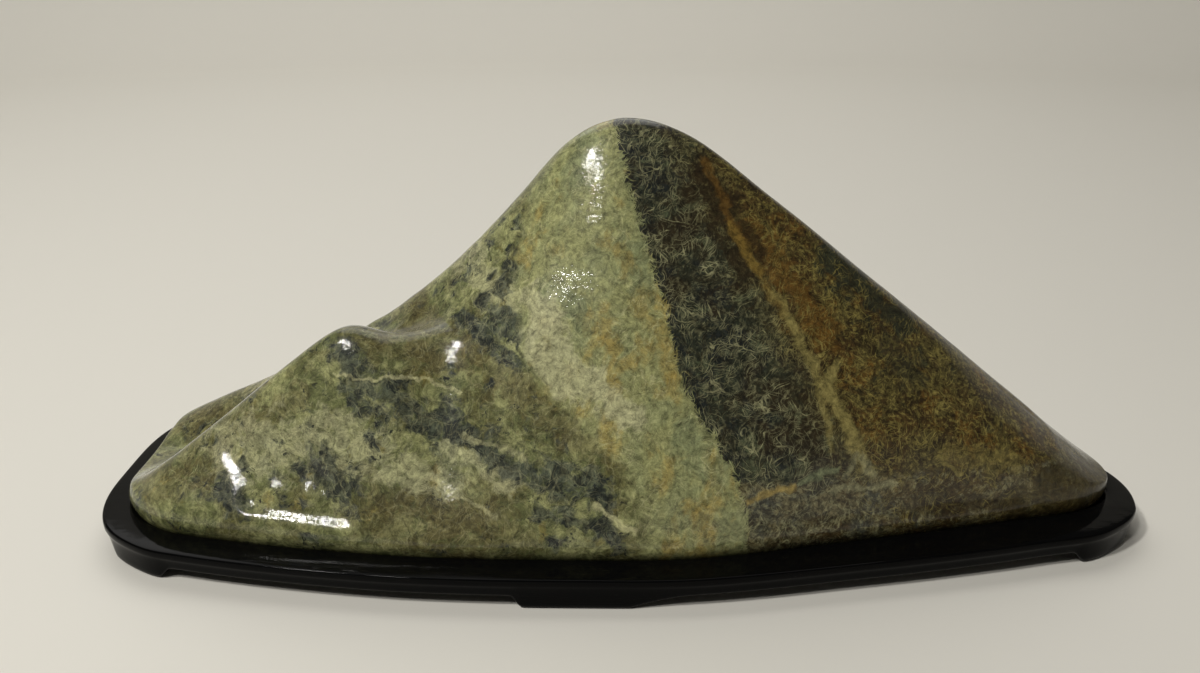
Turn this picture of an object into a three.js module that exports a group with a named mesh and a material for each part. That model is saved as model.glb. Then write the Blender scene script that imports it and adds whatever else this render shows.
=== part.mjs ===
// A mountain-shaped viewing stone that rests in the recess of its carved wooden stand.
// Millimetres, +Z up, the front faces -Y, and the origin is the bottom centre of the whole object.

import * as THREE from 'three';
import { mergeVertices } from 'three/addons/utils/BufferGeometryUtils.js';

const { clamp, lerp, smoothstep } = THREE.MathUtils;

// ---- driving dimensions ----------------------------------------------------------------------

const peakHeight = 159.5;        // floor to the top of the stone
const ledgeHeight = 13;          // floor to the flat ledge around the stone
const sideLedge = 13.4;          // from the stone's widest line to the stand's outer edge, front and back
const endLedge = 9.8;            // the same at the left and right ends
const rightLedge = 4;            // how much wider the front ledge grows towards the right
const apronHeight = 8.2;         // from the ledge down to the lower edge between the feet
const recessDepth = 4.2;         // how far the stone's foot drops below the ledge
const seatGap = 0.3;             // air between the stone and the wood

const columns = 104;             // mesh columns around the stone, which the stand shares
const crownRings = 21;           // mesh rings from the stone's widest line up to its spine
const shoulderColumns = 5;       // the stand's own columns on each sloping shoulder of a foot

// The stone's widest line seen from above, from the left end round the front and back.
const stoneOutline = [
  [-196, -2], [-194, -33], [-180, -49], [-156, -57], [-84, -69], [-16, -72], [24, -71], [90, -58],
  [150, -44], [183, -34.5], [193.5, -21], [186, -1], [150, 24], [92, 49], [20, 66], [-58, 72], [-130, 67],
  [-174, 51], [-192, 30],
];
const rightEnd = 10;             // the outline point at the right-hand end

// The line that the crown's rings close on, also seen from above.
const spine = [[-156, 2], [-100, 6], [0, -2], [100, -6], [178, -20]];

// Each foot: a point beside it in plan, half its length, and how far each shoulder runs out.
const feet = [
  { near: [-186, -62], half: 9, before: 6, after: 6 },
  { near: [-18, -84], half: 19, before: 4.5, after: 24 },
  { near: [183, -46], half: 9, before: 6, after: 6 },
  { near: [150, 36], half: 10, before: 6, after: 6 },
  { near: [-10, 82], half: 20, before: 20, after: 5 },
  { near: [-176, 64], half: 10, before: 6, after: 6 },
];
const footDepth = 14;            // from the apron inwards

// ---- the shape of the stone ------------------------------------------------------------------

const peak = { x: 5, y: -1 };
const rightRidge = { slope: 0.785, drift: -0.075, height: 177 };    // fall and drift in Y per millimetre of X
const crestFacet = { depth: 6, widening: 0.017, tilt: 0.3, edge: 5, crestRound: 14 };
const leastHeight = 18;          // no part of the crown lies lower than this above the floor
const cornerRound = 34;          // height over which two faces blend at a corner
const valleyRound = 9;           // the same in the valleys
const topRound = 20;             // and around the worn top

function smoothMin(a, b, blend) {
  const overlap = Math.max(blend - Math.abs(a - b), 0) / blend;
  return Math.min(a, b) - overlap * overlap * blend / 4;
}

function smoothMax(a, b, blend) {
  return -smoothMin(-a, -b, blend);
}

// A plane through a point, with its rise per millimetre along X and along Y.
function plane(x, y, through, riseX, riseY) {
  return through[2] + riseX * (x - through[0]) + riseY * (y - through[1]);
}

// The faces on both sides of the right-hand ridge. They lie flatter towards the tip, and a narrow
// facet along the crest widens in the same direction.
function rightFaces(x, y) {
  const along = x - peak.x;
  const crest = rightRidge.height - rightRidge.slope * along;
  const aside = y - peak.y - rightRidge.drift * along;
  const front = crest + (1.85 - 0.0065 * along) * aside;
  const back = crest - (1.6 - 0.005 * along) * aside;
  const facet = crest - crestFacet.depth - crestFacet.widening * along + crestFacet.tilt * aside;
  return smoothMin(smoothMin(front, facet, crestFacet.edge), back, crestFacet.crestRound);
}

function mountain(x, y) {
  const buttress = plane(x, y, [-5, -8, 174], -0.04, 2.1);
  const leftFlank = plane(x, y, [-30, 0, 149], 1.45, 1.3);
  const backCentre = plane(x, y, [0, 0, 181], 0.1, -1.95);
  const backLeft = plane(x, y, [-10, 0, 174], 1.1, -1.35);
  const sides = [buttress, leftFlank, backCentre, backLeft]
    .reduce((lowest, height) => smoothMin(lowest, height, cornerRound), rightFaces(x, y));
  return smoothMin(sides, peakHeight + 4, topRound);
}

// A rounded ridge along a straight line in plan. It falls away on both sides and around its ends.
function ridge(x, y, { from, to, frontFall, backFall, round }) {
  const run = [to[0] - from[0], to[1] - from[1]];
  const share = ((x - from[0]) * run[0] + (y - from[1]) * run[1]) / (run[0] ** 2 + run[1] ** 2);
  const along = clamp(share, 0, 1);
  const acrossX = x - from[0] - along * run[0];
  const acrossY = y - from[1] - along * run[1];
  const distance = Math.hypot(acrossX, acrossY);
  const fall = lerp(frontFall, backFall, 0.5 + 0.5 * acrossY / (distance + 1e-6));
  return lerp(from[2], to[2], along) - fall * (Math.hypot(distance, round) - round);
}

const frontRidge = { from: [-104, -30, 90], to: [-205, -33, 10], frontFall: 1.9, backFall: 0.9, round: 8 };
const saddle = { from: [-55, -18, 87], to: [-100, -30, 80], frontFall: 1.7, backFall: 0.9, round: 10 };
const shoulder = { from: [-44, 2, 120], to: [-97, 10, 75.5], frontFall: 1.3, backFall: 1.3, round: 10 };
const backRidge = { from: [-90, 12, 75], to: [-205, 28, 18], frontFall: 0.9, backFall: 1.2, round: 10 };
const lobe = { from: [-50, -50, 42], to: [-165, -42, 31], frontFall: 1.1, backFall: 0.4, round: 12 };

function stoneHeight(x, y) {
  const hill = smoothMin(ridge(x, y, frontRidge), 91, 12);
  const highest = [hill, ...[saddle, shoulder, backRidge, lobe].map((shape) => ridge(x, y, shape))]
    .reduce((most, height) => smoothMax(most, height, valleyRound), mountain(x, y));
  return smoothMax(highest, leastHeight, 8);
}

// The toe: how steeply the stone rises from its widest line. It is steepest at the front right, and
// further in it soars above the faces, so that it only shapes the rim.
function toeHeight(x, inside) {
  const rightward = smoothstep(x, -60, 60);
  const slope = lerp(1.5, 2.8, rightward);
  const round = lerp(3.5, 1.5, rightward);
  return slope * Math.sqrt(inside * inside + 2 * inside * round) + inside * inside / 60;
}

// ---- curves in plan --------------------------------------------------------------------------

function curveThrough(points, closed) {
  const corners = points.map(([x, y]) => new THREE.Vector3(x, y, 0));
  return new THREE.CatmullRomCurve3(corners, closed, 'centripetal');
}

const outline = curveThrough(stoneOutline, true);
outline.arcLengthDivisions = 100 * stoneOutline.length;
const spineCurve = curveThrough(spine, false);
const outlineLength = outline.getLength();
const rightShare = outline.getLengths()[100 * rightEnd] / outlineLength;

// A point on the stone's widest line, moved outwards in plan by a distance.
function outlinePoint(share, outward = 0) {
  const point = outline.getPointAt(share);
  const tangent = outline.getTangentAt(share);
  return [point.x + tangent.y * outward, point.y - tangent.x * outward];
}

// ---- meshes ----------------------------------------------------------------------------------

// A closed skin over rings of points that all run the same way round, the first ring lowest.
function skinOver(rings) {
  const count = rings[0].length;
  const index = [];
  for (let ring = 0; ring + 1 < rings.length; ring += 1) {
    for (let column = 0; column < count; column += 1) {
      const a = ring * count + column;
      const b = ring * count + (column + 1) % count;
      index.push(a, b, b + count, a, b + count, a + count);
    }
  }
  const geometry = new THREE.BufferGeometry();
  geometry.setAttribute('position', new THREE.Float32BufferAttribute(rings.flat(2), 3));
  geometry.setIndex(index);
  return withoutFlatTriangles(mergeVertices(geometry, 1e-3));
}

function withoutFlatTriangles(geometry) {
  const kept = [];
  const index = geometry.index.array;
  for (let at = 0; at < index.length; at += 3) {
    const [a, b, c] = index.slice(at, at + 3);
    if (a !== b && b !== c && c !== a) kept.push(a, b, c);
  }
  geometry.setIndex(kept);
  geometry.computeVertexNormals();
  return geometry;
}

// Stone columns run from the left end along the front to the right end, then back along the rear.
// The two columns that face each other end at the same point of the spine.
function stoneColumn(column) {
  const half = columns / 2;
  const front = column <= half;
  const share = (front ? column : columns - column) / half;
  const around = front ? rightShare * share : 1 - (1 - rightShare) * share;
  const onSpine = spineCurve.getPointAt(share - 0.6 * Math.sin(2 * Math.PI * share) / (2 * Math.PI));
  return { around: around % 1, onSpine };
}

const stoneBottom = ledgeHeight - recessDepth + seatGap;
const widestHeight = ledgeHeight + 4.5;
const stoneFoot = [               // outward distance and height, from the flat underside upwards
  [-5, stoneBottom], [-3, stoneBottom + 0.8], [-1.6, ledgeHeight - 1], [-0.6, ledgeHeight + 1.5],
];

function underPoint({ around, onSpine }, share) {
  const [x, y] = outlinePoint(around, stoneFoot[0][0]);
  return [lerp(onSpine.x, x, share), lerp(onSpine.y, y, share), stoneBottom];
}

function crownPoint({ around, onSpine }, share) {
  const [edgeX, edgeY] = outlinePoint(around);
  const x = lerp(edgeX, onSpine.x, share);
  const y = lerp(edgeY, onSpine.y, share);
  const inside = Math.hypot(x - edgeX, y - edgeY);
  const face = stoneHeight(x, y) - widestHeight;
  return [x, y, widestHeight + smoothMin(face, toeHeight(x, inside), Math.min(inside, 8) + 0.01)];
}

const stoneColumns = Array.from({ length: columns }, (_, column) => stoneColumn(column));

function stoneGeometry() {
  const rings = [0, 0.5].map((share) => stoneColumns.map((column) => underPoint(column, share)));
  for (const [outward, z] of stoneFoot) {
    rings.push(stoneColumns.map(({ around }) => [...outlinePoint(around, outward), z]));
  }
  for (let ring = 0; ring <= crownRings; ring += 1) {
    const share = (ring / crownRings) ** 1.3;
    rings.push(stoneColumns.map((column) => crownPoint(column, share)));
  }
  return skinOver(rings);
}

// ---- the stand -------------------------------------------------------------------------------

// The share of the outline that lies nearest to a point in plan.
function nearestShare([x, y]) {
  const steps = 2000;
  const distances = Array.from({ length: steps }, (_, step) => {
    const point = outline.getPointAt(step / steps);
    return Math.hypot(point.x - x, point.y - y);
  });
  return distances.indexOf(Math.min(...distances)) / steps;
}

const footShares = feet.map((foot) => nearestShare(foot.near));

// Distance along the outline from the middle of a foot, negative before it.
function pastFoot(around, foot) {
  const turn = around - footShares[foot];
  return (turn - Math.round(turn)) * outlineLength;
}

// Short shoulders are ogees, and long ones sweep up.
function shoulderReach(past, run) {
  const share = clamp(past / run, 0, 1);
  return run > 10 ? (1 - share) ** 2 : 1 - smoothstep(share, 0, 1);
}

// How far the apron reaches down at a place on the outline: 1 at a foot, 0 between the feet.
function footing(around) {
  const reaches = feet.map(({ half, before, after }, foot) => {
    const past = pastFoot(around, foot);
    return shoulderReach(Math.abs(past) - half, past < 0 ? before : after);
  });
  return Math.max(...reaches);
}

function standStations() {
  const shares = stoneColumns.map(({ around }) => around);
  feet.forEach(({ half, before, after }, foot) => {
    for (let step = 0; step <= shoulderColumns; step += 1) {
      const run = step / shoulderColumns;
      shares.push(footShares[foot] - (half + before * run) / outlineLength);
      shares.push(footShares[foot] + (half + after * run) / outlineLength);
    }
  });
  const sorted = shares.map((share) => (share + 1) % 1).sort((a, b) => a - b);
  return sorted.filter((share, at) => at === 0 || share - sorted[at - 1] > 0.4 / outlineLength);
}

function ledgeWidth(around) {
  const rightward = outline.getTangentAt(around).x;
  const widening = Math.max(rightward, 0) ** 4 * smoothstep(outline.getPointAt(around).x, 0, 150);
  return lerp(endLedge, sideLedge, rightward ** 2) + rightLedge * widening;
}

// The stand's section, from the middle of its underside out, up and back in to the recess floor.
function standSection(around) {
  const apronFoot = ledgeHeight - apronHeight;
  const foot = apronFoot * (1 - footing(around));
  const outer = ledgeWidth(around);
  return [
    [outer - footDepth - 3, apronFoot],
    [outer - footDepth - 1.5, foot],
    [outer - 2, foot],
    [outer - 1.4, foot + 0.6],
    [outer - 0.7, ledgeHeight - 3.6],
    [outer, ledgeHeight - 3],
    [outer, ledgeHeight - 0.9],
    [outer - 0.3, ledgeHeight - 0.25],
    [outer - 1, ledgeHeight],
    [-0.2, ledgeHeight],
    [-0.9, ledgeHeight - 0.5],
    [-2.6, ledgeHeight - recessDepth],
  ];
}

function standGeometry() {
  const stations = standStations();
  const sections = stations.map(standSection);
  const rings = sections[0].map((_, row) => stations.map((around, column) => {
    const [outward, z] = sections[column][row];
    return [...outlinePoint(around, outward), z];
  }));
  const underside = stations.map(() => [0, 0, ledgeHeight - apronHeight]);
  const recessFloor = stations.map(() => [0, 0, ledgeHeight - recessDepth]);
  return skinOver([underside, ...rings, recessFloor]);
}

// ---- materials and assembly ------------------------------------------------------------------

function polishedStone() {
  return new THREE.MeshStandardMaterial({ color: '#5d5f3f', roughness: 0.22, metalness: 0 });
}

function blackLacquer() {
  return new THREE.MeshStandardMaterial({ color: '#0d0f10', roughness: 0.15, metalness: 0 });
}

function named(name, geometry, material) {
  const mesh = new THREE.Mesh(geometry, material);
  mesh.name = name;
  return mesh;
}

const viewingStone = new THREE.Group();
viewingStone.add(named('stone', stoneGeometry(), polishedStone()));
viewingStone.add(named('stand', standGeometry(), blackLacquer()));

// The plan is centred on the origin.
const middle = new THREE.Box3().setFromObject(viewingStone).getCenter(new THREE.Vector3());
viewingStone.position.set(-middle.x, -middle.y, 0);

export default viewingStone;
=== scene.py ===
import bmesh
import bpy
import math
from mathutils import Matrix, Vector


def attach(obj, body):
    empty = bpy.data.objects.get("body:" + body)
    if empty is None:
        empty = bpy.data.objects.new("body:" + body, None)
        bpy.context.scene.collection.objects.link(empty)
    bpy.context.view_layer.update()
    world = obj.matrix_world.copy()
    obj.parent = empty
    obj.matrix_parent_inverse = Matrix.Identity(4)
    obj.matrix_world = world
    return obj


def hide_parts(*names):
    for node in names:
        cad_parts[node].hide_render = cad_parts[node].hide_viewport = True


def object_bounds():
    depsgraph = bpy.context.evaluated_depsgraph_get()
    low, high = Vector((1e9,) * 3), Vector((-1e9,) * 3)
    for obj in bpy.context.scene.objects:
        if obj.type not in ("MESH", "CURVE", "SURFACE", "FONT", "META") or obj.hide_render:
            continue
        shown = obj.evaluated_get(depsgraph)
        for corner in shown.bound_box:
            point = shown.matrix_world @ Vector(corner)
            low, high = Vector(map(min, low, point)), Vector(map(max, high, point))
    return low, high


# A polished mountain-shaped viewing stone in its black lacquered stand, on a pale floor.
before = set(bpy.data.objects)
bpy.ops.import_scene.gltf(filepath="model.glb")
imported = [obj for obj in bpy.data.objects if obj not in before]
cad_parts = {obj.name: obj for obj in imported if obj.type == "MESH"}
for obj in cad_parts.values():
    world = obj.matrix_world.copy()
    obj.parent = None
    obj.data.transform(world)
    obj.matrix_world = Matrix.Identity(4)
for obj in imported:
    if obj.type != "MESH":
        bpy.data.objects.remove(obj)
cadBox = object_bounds()  # every piece stays inside this
mm = 0.001

# settings that many nodes share
times = {"operation": "MULTIPLY"}
larger = {"operation": "MAXIMUM"}
softly = {"interpolation_type": "SMOOTHSTEP"}


def linearColour(hexColour):
    channels = [int(hexColour[at:at + 2], 16) / 255 for at in (1, 3, 5)]
    linear = [c / 12.92 if c <= 0.04045 else ((c + 0.055) / 1.055) ** 2.4 for c in channels]
    return (*linear, 1.0)


def addNode(tree, kind, settings=None, inputs=None):
    node = tree.nodes.new(kind)
    for name, value in (settings or {}).items():
        setattr(node, name, value)
    for socket, value in (inputs or {}).items():
        if isinstance(value, bpy.types.Node):
            value = next(output for output in value.outputs if output.enabled)
        if isinstance(value, bpy.types.NodeSocket):
            tree.links.new(value, node.inputs[socket])
        else:
            node.inputs[socket].default_value = value
    return node


def quadCage(node, name):
    # a CAD node's faceted mesh as quads, ready to be subdivided
    shape = bmesh.new()
    shape.from_mesh(node.data)
    bmesh.ops.remove_doubles(shape, verts=shape.verts, dist=0.01 * mm)
    bmesh.ops.dissolve_degenerate(shape, edges=shape.edges, dist=0.01 * mm)
    bmesh.ops.join_triangles(shape, faces=shape.faces, angle_face_threshold=math.radians(40),
                             angle_shape_threshold=math.radians(60))
    mesh = bpy.data.meshes.new(name)
    shape.to_mesh(mesh)
    shape.free()
    piece = bpy.data.objects.new(name, mesh)
    bpy.context.scene.collection.objects.link(piece)
    return piece


def placeInMillimetres(tree, place):
    return addNode(tree, "ShaderNodeVectorMath", {"operation": "SCALE"}, {0: place, "Scale": 1 / mm})


def seenFromFront(tree, place):
    # the place flattened along Y, so that a feature lies on a face at its (x, z)
    return addNode(tree, "ShaderNodeVectorMath", times, {0: place, 1: (1, 0, 1)})


def faceShare(tree, place, side):
    # 1 on the front (side -1) or the back (side 1) of the crest, 0 on the other
    crestDrift = 0.075  # how far the crest runs forward for each step to the right
    behind = addNode(tree, "ShaderNodeVectorMath", {"operation": "DOT_PRODUCT"},
                     {0: place, 1: (crestDrift * side, side, 0)})
    return addNode(tree, "ShaderNodeMapRange", softly,
                   {"Value": behind.outputs["Value"], "From Min": -2.0, "From Max": 3.0})


def distanceToLine(tree, place, start, end):
    # how far a flattened place lies from a straight stretch between two (x, z) points
    run = Vector((end[0] - start[0], 0, end[1] - start[1]))
    offset = addNode(tree, "ShaderNodeVectorMath", {"operation": "SUBTRACT"},
                     {0: place, 1: (start[0], 0, start[1])})
    along = addNode(tree, "ShaderNodeVectorMath", {"operation": "DOT_PRODUCT"},
                    {0: offset, 1: run.normalized()})
    held = addNode(tree, "ShaderNodeClamp", None, {"Value": along.outputs["Value"], "Max": run.length})
    nearest = addNode(tree, "ShaderNodeVectorMath", {"operation": "SCALE"},
                      {0: run.normalized(), "Scale": held})
    away = addNode(tree, "ShaderNodeVectorMath", {"operation": "DISTANCE"}, {0: offset, 1: nearest})
    return away.outputs["Value"]


def wornReliefTree(material, hollows):
    # subdivides a cage and wears it inwards along its normals, so that it never grows
    tree = bpy.data.node_groups.new("wornRelief", "GeometryNodeTree")
    tree.interface.new_socket(name="Geometry", in_out="OUTPUT", socket_type="NodeSocketGeometry")
    tree.interface.new_socket(name="Geometry", in_out="INPUT", socket_type="NodeSocketGeometry")
    named = ("Facet Depth", "Facet Width", "Ripple Depth", "Ripple Width", "Still Below", "Worn Above")
    for name in named:
        tree.interface.new_socket(name=name, in_out="INPUT", socket_type="NodeSocketFloat")
    given = addNode(tree, "NodeGroupInput").outputs
    smooth = addNode(tree, "GeometryNodeSubdivisionSurface", None,
                     {"Mesh": given["Geometry"], "Level": 2})
    place = placeInMillimetres(tree, addNode(tree, "GeometryNodeInputPosition"))

    # broad scoops and finer ripples all over
    facetScale = addNode(tree, "ShaderNodeMath", {"operation": "DIVIDE"},
                         {0: 1.0, 1: given["Facet Width"]})
    facets = addNode(tree, "ShaderNodeTexVoronoi", {"feature": "SMOOTH_F1"},
                     {"Vector": place, "Scale": facetScale, "Smoothness": 0.6})
    scoop = addNode(tree, "ShaderNodeMapRange", softly,
                    {"Value": facets.outputs["Distance"], "From Min": 0.7, "From Max": 0.1})
    rippleScale = addNode(tree, "ShaderNodeMath", {"operation": "DIVIDE"},
                          {0: 1.0, 1: given["Ripple Width"]})
    ripples = addNode(tree, "ShaderNodeTexNoise", None,
                      {"Vector": place, "Scale": rippleScale, "Detail": 1.5, "Roughness": 0.4})
    worn = addNode(tree, "ShaderNodeMath", times, {0: scoop, 1: given["Facet Depth"]})
    worn = addNode(tree, "ShaderNodeMath", {"operation": "MULTIPLY_ADD"},
                   {0: ripples, 1: given["Ripple Depth"], 2: worn})

    # hollows, each on its own face
    flat = seenFromFront(tree, place)
    for side, start, end, reach, depth in hollows:
        away = distanceToLine(tree, flat, start, end)
        hollow = addNode(tree, "ShaderNodeMapRange", softly,
                         {"Value": away, "From Min": reach, "From Max": 0.0, "To Max": depth})
        onFace = addNode(tree, "ShaderNodeMath", times, {0: hollow, 1: faceShare(tree, place, side)})
        worn = addNode(tree, "ShaderNodeMath", None, {0: worn, 1: onFace})

    # nothing moves near the foot
    height = addNode(tree, "ShaderNodeSeparateXYZ", None, {"Vector": place})
    free = addNode(tree, "ShaderNodeMapRange", softly,
                   {"Value": height.outputs["Z"], "From Min": given["Still Below"],
                    "From Max": given["Worn Above"]})
    depth = addNode(tree, "ShaderNodeMath", times, {0: worn, 1: free})
    inward = addNode(tree, "ShaderNodeMath", times, {0: depth, 1: -mm})
    normal = addNode(tree, "GeometryNodeInputNormal")
    offset = addNode(tree, "ShaderNodeVectorMath", {"operation": "SCALE"}, {0: normal, "Scale": inward})
    moved = addNode(tree, "GeometryNodeSetPosition", None, {"Geometry": smooth, "Offset": offset})
    shaded = addNode(tree, "GeometryNodeSetShadeSmooth", None, {"Geometry": moved})
    real = addNode(tree, "GeometryNodeRealizeInstances", None, {"Geometry": shaded})
    finished = addNode(tree, "GeometryNodeSetMaterial", None, {"Geometry": real, "Material": material})
    addNode(tree, "NodeGroupOutput", None, {"Geometry": finished})
    return tree


def wearDown(piece, material, relief, hollows=()):
    # runs the relief on a cage and keeps its result as a plain mesh
    tree = wornReliefTree(material, hollows)
    modifier = piece.modifiers.new("wornRelief", "NODES")
    modifier.node_group = tree
    for item in tree.interface.items_tree:
        if item.name in relief:
            modifier[item.identifier] = float(relief[item.name])
    evaluated = piece.evaluated_get(bpy.context.evaluated_depsgraph_get())
    cage = piece.data
    piece.data = bpy.data.meshes.new_from_object(evaluated)
    piece.modifiers.clear()
    bpy.data.meshes.remove(cage)
    piece.data.name = piece.name


# the stone: sizes in millimetres, and places by their (x, z) as seen from the front
serpentine = {
    "colours": {
        "sage": "#7c7d54",
        "milky": "#9a9876",
        "ochre": "#85733c",
        "stain": "#7c662c",
        "felt": "#a3a078",
        "greyGreen": "#636a4d",
        "moss": "#4a4f2f",
        "olive": "#464023",
        "brown": "#3f3119",
        "umber": "#241c0f",
        "rust": "#5a4119",
        "blueBlack": "#171b1b",
        "greenBlack": "#23271d",
        "hair": "#7e7c5c",
        "yellowHair": "#756b3a",
        "bevelGrey": "#665f42",
        "slate": "#353b37",
        "tip": "#342c15",
        "veinYellow": "#736a3e",
        "rustVein": "#6a5727",
    },
    # where the pale band ends at each height: (height, x)
    "paleRight": [(0, 45), (17, 43.5), (37, 41), (53, 32), (68, 23), (113, 9), (155, -4.5)],
    "paleLeft": [(0, 6), (35, 3.5), (54, -9), (73, -30), (103, -40), (129, -35), (147, -24), (160, -12)],
    # patches along a stretch: both ends and radius
    "darkPatches": [
        ((-28, 127), (-29, 110), 6), ((-34, 118), (-44, 100), 7), ((-50, 92), (-40, 88), 7),
        ((-102, 80), (-97, 66), 10), ((-90, 66), (-72, 55), 11), ((-66, 56), (-50, 47), 9),
        ((-112, 42), (-100, 34), 11), ((-42, 45), (-14, 40), 8), ((-12, 42), (-4, 20), 7),
        ((-58, 86), (-40, 78), 6), ((-150, 32), (-142, 27), 8), ((-30, 30), (-8, 28), 5),
    ],
    "rustyPatches": [
        ((-88, 84), (-48, 74), 13), ((-45, 72), (-20, 56), 11), ((-165, 38), (-118, 63), 8),
        ((-92, 26), (-40, 22), 17), ((-180, 26), (-150, 36), 11), ((-20, 58), (-2, 48), 8),
    ],
    "palePatches": [
        ((-146, 42), (-92, 51), 17), ((-66, 48), (-40, 40), 8), ((-60, 104), (-38, 96), 12),
        ((-84, 40), (-60, 36), 8),
    ],
    "stainPatches": [
        ((8, 100), (18, 72), 9), ((-8, 96), (-4, 84), 6), ((28, 30), (34, 20), 7),
        ((-6, 118), (2, 112), 7),
    ],
    # milky patches: partly the band's own milky colour, partly a painted reflection of the ceiling light
    # where the buttress faces up
    "milkyAndSheenPatches": [
        ((-30, 96), (-18, 70), 11), ((-34, 84), (-26, 76), 8), ((-12, 74), (2, 62), 9),
    ],
    "coolPatches": [
        ((-12, 152), (-16, 138), 9), ((-26, 100), (-12, 92), 8), ((22, 56), (34, 42), 9),
        ((2, 118), (8, 104), 7),
    ],
    # patches under the fibres of the dark right side: stretch, colour and strength
    "rightPatches": [
        (((50, 120), (74, 84), 10), "rust", 0.65),
        (((80, 106), (108, 84), 10), "greenBlack", 0.9),
        (((122, 42), (148, 36), 8), "yellowHair", 0.4),
        (((108, 23), (150, 20), 8), "umber", 0.7),
    ],
    # smoother patches over them
    "barePatches": [
        (((29, 140), (46, 112), 9), "umber", 0.8),
        (((98, 80), (109, 68), 9), "greenBlack", 0.45),
        (((160, 20), (190, 20), 18), "tip", 0.8),
    ],
    # veins: front (-1) or back (1), both ends, half width, colour and strength
    "veins": [
        (-1, (30, 144), (44, 116), 3.2, "rust", 0.5),
        (-1, (40, 122), (50, 106), 3.0, "rustVein", 0.65),
        (-1, (50, 106), (60, 92), 2.2, "rustVein", 0.45),
        (-1, (55, 100), (62, 90), 2.0, "veinYellow", 0.6),
        (-1, (62, 90), (71, 71), 3.4, "veinYellow", 0.85),
        (-1, (71, 71), (76, 48), 2.2, "veinYellow", 0.5),
        (-1, (79, 75), (74, 71), 2.6, "veinYellow", 0.7),
        (-1, (74, 71), (82, 55), 4.0, "veinYellow", 0.9),
        (-1, (82, 55), (88, 42), 4.2, "veinYellow", 0.85),
        (-1, (87, 44), (92, 38), 2.6, "hair", 0.6),
        (-1, (85, 45), (81, 38), 2.4, "hair", 0.5),
        (-1, (45, 33), (61, 37), 2.2, "ochre", 0.75),
        (-1, (64, 38), (77, 41), 2.4, "greyGreen", 0.7),
        (-1, (76, 34), (101, 32.5), 2.0, "hair", 0.6),
        (-1, (118, 40), (127, 33), 1.2, "yellowHair", 0.7),
        (-1, (-106, 72), (-76, 70), 0.9, "felt", 0.5),
        (-1, (-76, 70), (-60, 63), 1.0, "felt", 0.5),
        (-1, (-10, 31), (4, 24), 1.8, "felt", 0.6),
        (-1, (-70, 38), (-45, 27), 1.3, "felt", 0.35),
        (-1, (-57, 52), (-35, 47), 1.7, "felt", 0.35),
        (-1, (98, 58), (112, 60), 1.3, "umber", 0.8),
        (1, (15, 120), (45, 60), 2.6, "veinYellow", 0.7),
        (1, (45, 60), (52, 20), 3.4, "veinYellow", 0.7),
        (1, (-100, 62), (-30, 40), 1.8, "felt", 0.6),
        (1, (90, 90), (140, 30), 2.6, "rustVein", 0.7),
    ],
    # fibres of the felt: their turn and length
    "fibres": [
        ((0, 0.3, 0), 16), ((0, 1.2, 0), 12), ((0, 2.2, 0), 15), ((0, 2.8, 0.2), 10),
        ((0.5, 1.7, 0.3), 13), ((1.3, 0.6, 0.4), 15),
    ],
    "fibreWidth": 0.45,  # the real ones are finer, and would not show
    "dustSize": 2.6,
    "dimpleSize": 6,
    "relief": {
        "Facet Depth": 0.9,
        "Facet Width": 44,
        "Ripple Depth": 0.35,
        "Ripple Width": 13,
        "Still Below": 15,
        "Worn Above": 24,
    },
    # hollows worn into the faces: front (-1) or back (1), both ends, reach and depth
    "hollows": [
        (-1, (-16, 108), (-20, 66), 19, 1.5),    # down the pale buttress
        (-1, (-64, 65), (-62, 50), 20, 1.3),     # between the left hill and the buttress
        (-1, (-62, 46), (-62, 40), 34, 1.4),     # and below, where it opens out
        (-1, (-146, 43), (-136, 33), 8, 1.9),    # three dents on the left lobe
        (-1, (-132, 43), (-123, 34), 8, 2.4),
        (-1, (-119, 42), (-109, 34), 8, 2.3),
        (-1, (-138, 27.5), (-100, 26), 6, 2.1),  # along the lobe's front
        (-1, (50, 26), (150, 21), 11, 0.9),      # along the lower bevel
        (-1, (96, 58), (120, 60), 6, 0.6),       # a crack in the brown face
        (-1, (56, 122), (165, 40), 7, 0.8),      # beside the right-hand crest
        (-1, (-69, 86), (-44, 79), 2.2, 0.5),    # two fissures
        (-1, (-54, 88), (-47, 84), 1.8, 0.4),
        (1, (-110, 55), (-50, 70), 15, 1.6),     # four on the back
        (1, (25, 105), (45, 45), 14, 1.5),
        (1, (90, 70), (125, 35), 11, 1.1),
        (1, (-40, 110), (-20, 60), 10, 1.0),
    ],
}


def warped(tree, place, size, amount):
    # the place, shifted about by up to an amount, by a soft noise of a size
    noise = addNode(tree, "ShaderNodeTexNoise", None,
                    {"Vector": place, "Scale": 1 / size, "Detail": 2.0})
    centred = addNode(tree, "ShaderNodeVectorMath", {"operation": "SUBTRACT"},
                      {0: noise.outputs["Color"], 1: (0.5, 0.5, 0.5)})
    return addNode(tree, "ShaderNodeVectorMath", {"operation": "MULTIPLY_ADD"},
                   {0: centred, 1: (2 * amount,) * 3, 2: place})


def spread(tree, place, size, low, high, detail=4.0):
    # soft blotches of a size, from 0 below low to 1 above high
    noise = addNode(tree, "ShaderNodeTexNoise", None,
                    {"Vector": place, "Scale": 1 / size, "Detail": detail, "Roughness": 0.62})
    return addNode(tree, "ShaderNodeMapRange", softly,
                   {"Value": noise, "From Min": low, "From Max": high})


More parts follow.
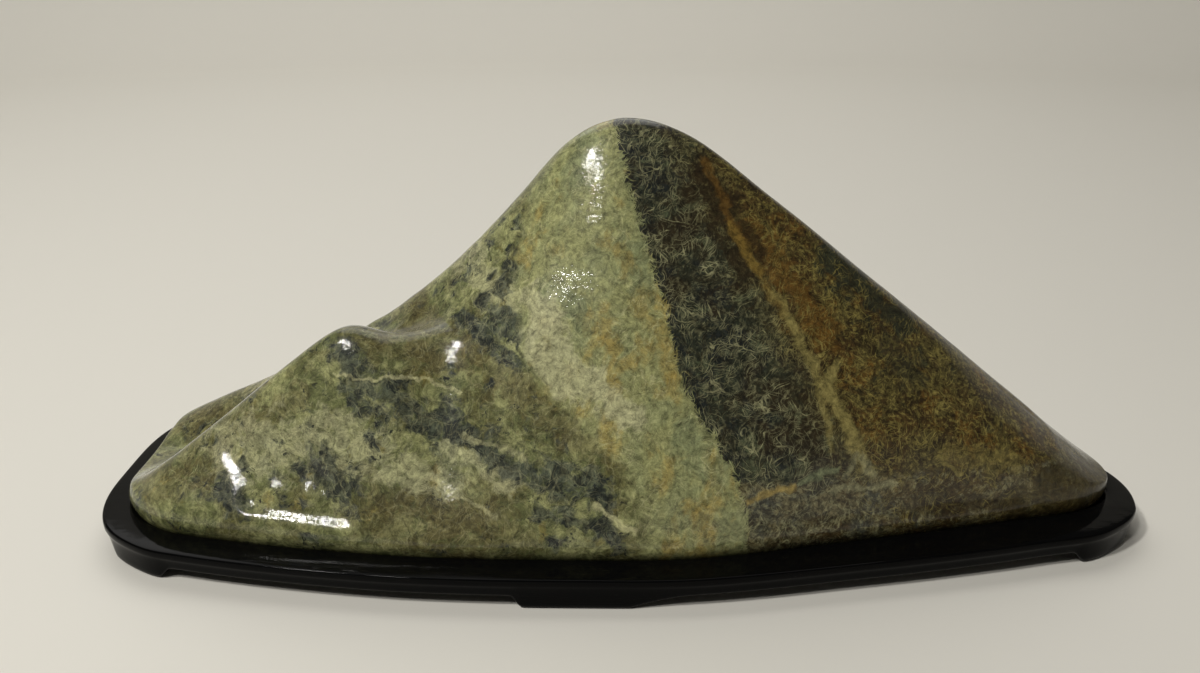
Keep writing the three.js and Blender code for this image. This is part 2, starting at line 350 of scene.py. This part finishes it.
def felted(tree, place, shift, low, high):
    # matted fibres: in each direction, a noise stretched into short curved strokes
    most = 0.0
    for turn, length in serpentine["fibres"]:
        shift += 31  # so that no two directions share their noise
        laid = addNode(tree, "ShaderNodeMapping", {"vector_type": "TEXTURE"},
                       {"Vector": place, "Location": (shift, shift, shift), "Rotation": turn,
                        "Scale": (length, length * 0.6, serpentine["fibreWidth"])})
        strokes = addNode(tree, "ShaderNodeTexNoise", None,
                          {"Vector": laid, "Scale": 1.0, "Detail": 2.0, "Roughness": 0.4})
        layer = addNode(tree, "ShaderNodeMapRange", softly,
                        {"Value": strokes, "From Min": low, "From Max": high})
        most = addNode(tree, "ShaderNodeMath", larger, {0: most, 1: layer})
    return most


def brokenPatches(tree, flat, place, stretches, size, low=0.76, high=0.94):
    # patches that fade out from their stretches, eaten into by a rough noise of a size
    most = 0.0
    for start, end, radius in stretches:
        inside = addNode(tree, "ShaderNodeMapRange", None,
                         {"Value": distanceToLine(tree, flat, start, end),
                          "From Min": radius * 1.5, "From Max": 0.0, "To Max": 0.55})
        most = addNode(tree, "ShaderNodeMath", larger, {0: most, 1: inside})
    rough = addNode(tree, "ShaderNodeTexNoise", None,
                    {"Vector": place, "Scale": 1 / size, "Detail": 5.0, "Roughness": 0.68})
    both = addNode(tree, "ShaderNodeMath", None, {0: most, 1: rough})
    return addNode(tree, "ShaderNodeMapRange", softly,
                   {"Value": both, "From Min": low, "From Max": high})


def patchesOnFace(tree, flat, place, patches, face):
    # layers of patches in their own colours, kept to one face
    layers = []
    for stretch, colour, strength in patches:
        patch = brokenPatches(tree, flat, place, [stretch], 8)
        kept = addNode(tree, "ShaderNodeMath", times, {0: patch, 1: face})
        layers.append((kept, colour, strength))
    return layers


def edgeAt(tree, height, outline):
    # the X of an edge at each height, through a few points
    low, high, tall = -60.0, 60.0, 160.0  # what the curve spans
    share = addNode(tree, "ShaderNodeMath", {"operation": "DIVIDE"}, {0: height, 1: tall})
    curve = addNode(tree, "ShaderNodeFloatCurve", None, {"Value": share})
    line = curve.mapping.curves[0]
    while len(line.points) < len(outline):
        line.points.new(0.5, 0.5)
    for point, (z, x) in zip(line.points, outline):
        point.location = (z / tall, (x - low) / (high - low))
    curve.mapping.update()
    return addNode(tree, "ShaderNodeMapRange", None, {"Value": curve, "To Min": low, "To Max": high})


def layered(tree, under, layers):
    # lays colours over each other, each by its own mask and strength; a colour is a name or a node
    for mask, colour, strength in layers:
        below, above = [linearColour(serpentine["colours"][given]) if isinstance(given, str) else given
                        for given in (under, colour)]
        share = addNode(tree, "ShaderNodeMath", times, {0: mask, 1: strength})
        under = addNode(tree, "ShaderNodeMix", {"data_type": "RGBA"}, {0: share, 6: below, 7: above})
    return under


def paleBand(tree, flat, place, paleFibres, darkFibres, specks):
    # milky sage felt with ochre clouds and rust stains, drawn out along the band; its milky patches also
    # carry a painted reflection of the ceiling light
    drawn = addNode(tree, "ShaderNodeMapping", {"vector_type": "TEXTURE"},
                    {"Vector": place, "Rotation": (0, 0.25, 0), "Scale": (1, 1, 1.9)})
    fewSpecks = addNode(tree, "ShaderNodeMath", times, {0: specks, 1: spread(tree, drawn, 20, 0.5, 0.6)})
    return layered(tree, "sage", [
        (spread(tree, drawn, 9, 0.44, 0.62), "greyGreen", 0.4),
        (spread(tree, drawn, 13, 0.5, 0.66), "ochre", 0.7),
        (brokenPatches(tree, flat, drawn, serpentine["coolPatches"], 7), "greyGreen", 0.6),
        # milky patches: the band's own milky colour with a painted reflection of the ceiling light
        (brokenPatches(tree, flat, drawn, serpentine["milkyAndSheenPatches"], 8), "milky", 0.75),
        (brokenPatches(tree, flat, drawn, serpentine["stainPatches"], 5, 0.78, 1.05), "stain", 0.45),
        (spread(tree, place, 5, 0.52, 0.7, 5.0), "moss", 0.2),
        (darkFibres, "moss", 0.3),
        (paleFibres, "felt", 0.4),
        (fewSpecks, "umber", 0.5),
    ])


def leftGround(tree, flat, place, paleFibres, darkFibres, specks, front):
    # sage and moss felt with blue-black blotches, rusty clouds and black specks
    blotches = brokenPatches(tree, flat, place, serpentine["darkPatches"], 7)
    dark = addNode(tree, "ShaderNodeMath", times, {0: blotches, 1: front})
    scattered = addNode(tree, "ShaderNodeMath", larger,
                        {0: dark, 1: spread(tree, place, 11, 0.56, 0.66, 6.0)})
    cores = addNode(tree, "ShaderNodeMath", times,
                    {0: scattered, 1: spread(tree, place, 4.5, 0.46, 0.58, 5.0)})
    cells = addNode(tree, "ShaderNodeTexVoronoi", {"feature": "DISTANCE_TO_EDGE"},
                    {"Vector": place, "Scale": 1 / 8})
    net = addNode(tree, "ShaderNodeMapRange", softly,
                  {"Value": cells.outputs["Distance"], "From Min": 0.05, "From Max": 0.0})
    return layered(tree, "sage", [
        (spread(tree, place, 10, 0.42, 0.58, 6.0), "moss", 0.8),
        (spread(tree, place, 19, 0.46, 0.6), "olive", 0.6),
        (brokenPatches(tree, flat, place, serpentine["rustyPatches"], 7), "brown", 0.42),
        (brokenPatches(tree, flat, place, serpentine["palePatches"], 9), "milky", 0.5),
        (spread(tree, place, 8, 0.6, 0.7), "ochre", 0.55),
        (scattered, "slate", 0.75),
        (spread(tree, place, 4, 0.54, 0.64, 5.0), "moss", 0.6),
        (cores, "blueBlack", 0.85),
        (darkFibres, "greenBlack", 0.35),
        (paleFibres, "felt", 0.22),
        (net, "felt", 0.12),
        (specks, "blueBlack", 0.9),
    ])


def darkBody(tree, place, fringe):
    # green-black body, blackest along the contact
    return layered(tree, "greenBlack", [
        (spread(tree, place, 12, 0.44, 0.6), "blueBlack", 0.9),
        (spread(tree, place, 22, 0.48, 0.62), "umber", 0.75),
        (spread(tree, place, 7, 0.54, 0.68, 5.0), "greyGreen", 0.4),
        (spread(tree, place, 1.8, 0.5, 0.62, 3.0), "hair", 0.22),
        (fringe, "blueBlack", 0.8),
    ])


def brownFace(tree, place, specks):
    # oily brown and olive with rust clouds
    return layered(tree, "brown", [
        (spread(tree, place, 15, 0.42, 0.58), "olive", 0.85),
        (spread(tree, place, 11, 0.5, 0.62), "umber", 0.85),
        (spread(tree, place, 17, 0.52, 0.64), "rust", 0.7),
        (spread(tree, place, 8, 0.56, 0.68, 5.0), "greenBlack", 0.8),
        (spread(tree, place, 1.8, 0.5, 0.6, 3.0), "yellowHair", 0.55),
        (spread(tree, place, 1.5, 0.5, 0.6, 3.0), "umber", 0.75),
        (specks, "umber", 0.7),
    ])


def lowerBevel(tree, place):
    # a greyer ground with slate, brown and umber clouds and fine hair
    return layered(tree, "bevelGrey", [
        (spread(tree, place, 12, 0.45, 0.58), "slate", 0.8),
        (spread(tree, place, 18, 0.46, 0.58), "brown", 0.9),
        (spread(tree, place, 7, 0.52, 0.64, 5.0), "umber", 0.75),
        (spread(tree, place, 2.2, 0.5, 0.6, 3.0), "hair", 0.6),
        (spread(tree, place, 1.7, 0.48, 0.58, 3.0), "umber", 0.7),
    ])


def stoneMaterial():
    # polished serpentine, oiled by hand: a clear wet gloss over felted green, brown and black mineral
    material = bpy.data.materials.new("polishedSerpentine")
    material.use_nodes = True
    tree = material.node_tree
    tree.nodes.clear()
    place = placeInMillimetres(tree, addNode(tree, "ShaderNodeTexCoord").outputs["Object"])
    wavy = warped(tree, place, 16, 5.0)
    ragged = warped(tree, warped(tree, place, 9, 3.2), 3, 0.9)
    flat = seenFromFront(tree, warped(tree, ragged, 14, 5.0))
    thread = seenFromFront(tree, ragged)
    front = faceShare(tree, place, -1)
    back = faceShare(tree, place, 1)

    # fibres and specks, which several grounds share
    matted = warped(tree, warped(tree, place, 13, 6.0), 6, 1.6)
    paleFibres = addNode(tree, "ShaderNodeMath", times,
                         {0: felted(tree, matted, 0, 0.61, 0.73), 1: spread(tree, wavy, 7, 0.36, 0.6)})
    darkFibres = felted(tree, matted, 400, 0.58, 0.76)
    specks = addNode(tree, "ShaderNodeMath", times,
                     {0: spread(tree, ragged, 2.2, 0.58, 0.64, 3.0),
                      1: spread(tree, wavy, 11, 0.5, 0.6)})

    # how far each place lies past both edges of the pale band
    here = addNode(tree, "ShaderNodeSeparateXYZ", None, {"Vector": ragged})
    frayed = addNode(tree, "ShaderNodeMath", {"operation": "MULTIPLY_ADD"},
                     {0: felted(tree, matted, 800, 0.5, 0.75), 1: -3.0, 2: here.outputs["X"]})
    pastRight = addNode(tree, "ShaderNodeMath", {"operation": "SUBTRACT"},
                        {0: frayed, 1: edgeAt(tree, here.outputs["Z"], serpentine["paleRight"])})
    loose = addNode(tree, "ShaderNodeSeparateXYZ", None, {"Vector": warped(tree, wavy, 5, 3.5)})
    pastLeft = addNode(tree, "ShaderNodeMath", {"operation": "SUBTRACT"},
                       {0: edgeAt(tree, loose.outputs["Z"], serpentine["paleLeft"]),
                        1: loose.outputs["X"]})
    isLeft = addNode(tree, "ShaderNodeMapRange", softly,
                     {"Value": pastLeft, "From Min": -3.5, "From Max": 2.5})
    isRight = addNode(tree, "ShaderNodeMapRange", softly,
                      {"Value": pastRight, "From Min": -0.8, "From Max": 0.8})
    contact = addNode(tree, "ShaderNodeMapRange", softly,
                      {"Value": pastRight, "From Min": 6.0, "From Max": 1.0})
    fringe = addNode(tree, "ShaderNodeMath", times,
                     {0: contact, 1: spread(tree, wavy, 8, 0.35, 0.55)})

    # the right side: dark, then brown past a slanting line, and greyer below the bevel's edge
    slant = addNode(tree, "ShaderNodeVectorMath", {"operation": "DOT_PRODUCT"},
                    {0: warped(tree, wavy, 12, 6.0), 1: (1, 0, 0.56)})
    brownSide = addNode(tree, "ShaderNodeMapRange", softly,
                        {"Value": slant.outputs["Value"], "From Min": 92.0, "From Max": 120.0})
    darkSide = addNode(tree, "ShaderNodeMapRange", softly,
                       {"Value": slant.outputs["Value"], "From Min": 120.0, "From Max": 92.0})
    rise = addNode(tree, "ShaderNodeVectorMath", {"operation": "DOT_PRODUCT"},
                   {0: ragged, 1: (0.055, 0, 1)})  # the edge falls a little to the right
    belowEdge = addNode(tree, "ShaderNodeMapRange", softly,
                        {"Value": rise.outputs["Value"], "From Min": 43.5, "From Max": 40.5})
    hairOnDark = addNode(tree, "ShaderNodeMath", times, {0: paleFibres, 1: darkSide})
    hairOnBrown = addNode(tree, "ShaderNodeMath", times, {0: paleFibres, 1: brownSide})
    right = layered(tree, darkBody(tree, wavy, fringe), [
        (brownSide, brownFace(tree, wavy, specks), 1.0),
        (belowEdge, lowerBevel(tree, wavy), 0.85),
        *patchesOnFace(tree, flat, wavy, serpentine["rightPatches"], front),
        (darkFibres, "umber", 0.6),
        (hairOnDark, "hair", 0.85),
        (hairOnBrown, "yellowHair", 0.8),
        *patchesOnFace(tree, flat, wavy, serpentine["barePatches"], front),
    ])
    colour = layered(tree, paleBand(tree, flat, wavy, paleFibres, darkFibres, specks), [
        (isLeft, leftGround(tree, flat, ragged, paleFibres, darkFibres, specks, front), 1.0),
        (isRight, right, 1.0),
    ])

    # veins over everything, worn through in places
    wear = addNode(tree, "ShaderNodeMath", {"operation": "MULTIPLY_ADD"},
                   {0: felted(tree, matted, 1200, 0.45, 0.75), 1: 0.9,
                    2: spread(tree, ragged, 4, 0.42, 0.66, 5.0)})
    for side, start, end, width, shade, strength in serpentine["veins"]:
        line = addNode(tree, "ShaderNodeMapRange", softly,
                       {"Value": distanceToLine(tree, thread, start, end),
                        "From Min": width * 1.2, "From Max": 0.0, "To Max": 1.7})
        broken = addNode(tree, "ShaderNodeMath", {"operation": "MULTIPLY_ADD", "use_clamp": True},
                         {0: wear, 1: -0.6, 2: line})
        onFace = addNode(tree, "ShaderNodeMath", times, {0: broken, 1: front if side < 0 else back})
        colour = layered(tree, colour, [(onFace, shade, strength)])

    # mineral dust of many sizes makes every colour lighter and darker
    dust = addNode(tree, "ShaderNodeTexNoise", None,
                   {"Vector": ragged, "Scale": 1 / serpentine["dustSize"], "Detail": 5.0,
                    "Roughness": 0.8})
    dusty = addNode(tree, "ShaderNodeMapRange", None,
                    {"Value": dust, "From Min": 0.35, "From Max": 0.65, "To Min": 0.55, "To Max": 2.05})
    colour = addNode(tree, "ShaderNodeHueSaturation", None, {"Value": dusty, "Color": colour})

    dimples = addNode(tree, "ShaderNodeTexNoise", None,
                      {"Vector": place, "Scale": 1 / serpentine["dimpleSize"], "Detail": 5.0,
                       "Roughness": 0.62})
    bump = addNode(tree, "ShaderNodeBump", None,
                   {"Strength": 1.0, "Distance": 0.3 * mm, "Height": dimples})
    shader = addNode(tree, "ShaderNodeBsdfPrincipled", None, {
        "Base Color": colour, "Roughness": 0.45, "IOR": 1.56, "Specular IOR Level": 0.1,
        "Coat Weight": 1.0, "Coat Roughness": 0.055, "Coat IOR": 1.36,
        "Normal": bump, "Coat Normal": bump,
    })
    addNode(tree, "ShaderNodeOutputMaterial", None, {"Surface": shader})
    return material


stone = quadCage(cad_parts["stone"], "viewingStone")
wearDown(stone, stoneMaterial(), serpentine["relief"], serpentine["hollows"])
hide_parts("stone")
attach(stone, "root")
print("stone:", len(stone.data.polygons), "faces")


lacquer = {
    "black": "#040506",
    "thin": "#0b0a09",
    "grainWidth": 1.4,
    "brushWidth": 16,
    "relief": {
        "Facet Depth": 0,
        "Facet Width": 60,
        "Ripple Depth": 0.2,
        "Ripple Width": 24,
        "Still Below": 1,
        "Worn Above": 5,
    },
}


def lacquerMaterial():
    # carved hardwood under brushed black lacquer: deep gloss, with a faint grain and soft waves
    material = bpy.data.materials.new("blackLacqueredWood")
    material.use_nodes = True
    tree = material.node_tree
    tree.nodes.clear()
    place = placeInMillimetres(tree, addNode(tree, "ShaderNodeTexCoord").outputs["Object"])
    alongGrain = addNode(tree, "ShaderNodeMapping", None, {"Vector": place, "Scale": (0.03, 1.0, 1.0)})
    grain = addNode(tree, "ShaderNodeTexNoise", None,
                    {"Vector": alongGrain, "Scale": 1 / lacquer["grainWidth"], "Detail": 3.0})
    brushed = addNode(tree, "ShaderNodeTexNoise", None,
                      {"Vector": place, "Scale": 1 / lacquer["brushWidth"], "Detail": 2.0})
    colour = addNode(tree, "ShaderNodeMix", {"data_type": "RGBA"},
                     {0: grain, 6: linearColour(lacquer["black"]), 7: linearColour(lacquer["thin"])})
    waves = addNode(tree, "ShaderNodeMath", {"operation": "MULTIPLY_ADD"},
                    {0: grain, 1: 0.06, 2: brushed})
    bump = addNode(tree, "ShaderNodeBump", None,
                   {"Strength": 1.0, "Distance": 0.15 * mm, "Height": waves})
    shader = addNode(tree, "ShaderNodeBsdfPrincipled", None, {
        "Base Color": colour, "Roughness": 0.08, "IOR": 1.5, "Specular IOR Level": 0.06, "Normal": bump,
    })
    addNode(tree, "ShaderNodeOutputMaterial", None, {"Surface": shader})
    return material


stand = quadCage(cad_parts["stand"], "carvedStand")
wearDown(stand, lacquerMaterial(), lacquer["relief"])
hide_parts("stand")
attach(stand, "root")
print("stand:", len(stand.data.polygons), "faces")


studio = {
    "middle": -1.1,  # the Y of the floor's middle, so that the wall is near behind and far in front
    "radius": 2.6,
    "coveRadius": 0.35,
    "coveSteps": 16,
    "wallHeight": 0.9,
    "turns": 96,
    "cloth": "#dedbd2",
    "lampLight": "#fffdf9",
    "roomLight": "#f2f0ea",
    "roomStrength": 0.06,
}


def sweep():
    # a round floor that curves up into a low wall all about it
    steps, turns, cove = studio["coveSteps"], studio["turns"], studio["coveRadius"]
    profile = [(studio["radius"] - cove + cove * math.sin(math.pi / 2 * step / steps),
                cove - cove * math.cos(math.pi / 2 * step / steps)) for step in range(steps + 1)]
    profile.append((studio["radius"], studio["wallHeight"]))
    points = [(0, studio["middle"], 0)]
    for out, up in profile:
        for turn in range(turns):
            angle = 2 * math.pi * turn / turns
            points.append((out * math.cos(angle), studio["middle"] + out * math.sin(angle), up))
    faces = [(0, 1 + turn, 1 + (turn + 1) % turns) for turn in range(turns)]
    for ring in range(len(profile) - 1):
        inner = 1 + ring * turns
        outer = inner + turns
        for turn in range(turns):
            following = (turn + 1) % turns
            faces.append((inner + turn, outer + turn, outer + following, inner + following))
    mesh = bpy.data.meshes.new("paleFloor")
    mesh.from_pydata(points, [], faces)
    mesh.shade_smooth()
    floor = bpy.data.objects.new("paleFloor", mesh)
    bpy.context.scene.collection.objects.link(floor)
    return floor


def clothMaterial():
    # pale satin cloth pulled flat: matte, slightly warm
    material = bpy.data.materials.new("paleSatin")
    material.use_nodes = True
    shader = material.node_tree.nodes["Principled BSDF"]
    shader.inputs["Base Color"].default_value = linearColour(studio["cloth"])
    shader.inputs["Roughness"].default_value = 0.6
    return material


floor = sweep()
floor.data.materials.append(clothMaterial())

lamps = {
    "ceilingLampLeft": {"towards": (-0.49, -0.43, 0.76), "away": 1.7, "size": 0.15, "power": 14},
    "ceilingLampFront": {"towards": (-0.36, -0.59, 0.72), "away": 1.7, "size": 0.15, "power": 7},
    "softCeiling": {"towards": (-0.15, 0.75, 1.0), "away": 1.6, "size": 1.6, "power": 12.5},
}
middle = (cadBox[0] + cadBox[1]) / 2
for name, lamp in lamps.items():
    light = bpy.data.lights.new(name, "AREA")
    light.size = lamp["size"]
    light.energy = lamp["power"]
    light.color = linearColour(studio["lampLight"])[:3]
    holder = bpy.data.objects.new(name, light)
    direction = Vector(lamp["towards"]).normalized()
    holder.location = middle + direction * lamp["away"]
    holder.rotation_euler = direction.to_track_quat("Z", "Y").to_euler()
    bpy.context.scene.collection.objects.link(holder)

world = bpy.data.worlds.new("softRoom")
world.use_nodes = True
air = world.node_tree.nodes["Background"]
air.inputs["Color"].default_value = linearColour(studio["roomLight"])
air.inputs["Strength"].default_value = studio["roomStrength"]
bpy.context.scene.world = world
bpy.context.scene.view_settings.view_transform = "Standard"

photographer = {
    "place": (-0.00826, -0.42544, 0.24247),
    "lookingDown": 22.0,
    "lens": 34.5,
    "sensor": 36.0,
}
cameraData = bpy.data.cameras.new("camera")
cameraData.lens = photographer["lens"]
cameraData.sensor_width = photographer["sensor"]
camera = bpy.data.objects.new("camera", cameraData)
camera.location = photographer["place"]
camera.rotation_euler = (math.radians(90 - photographer["lookingDown"]), 0, 0)
bpy.context.scene.collection.objects.link(camera)
bpy.context.scene.camera = camera
print("studio: a floor,", len(lamps), "lamps and a camera")
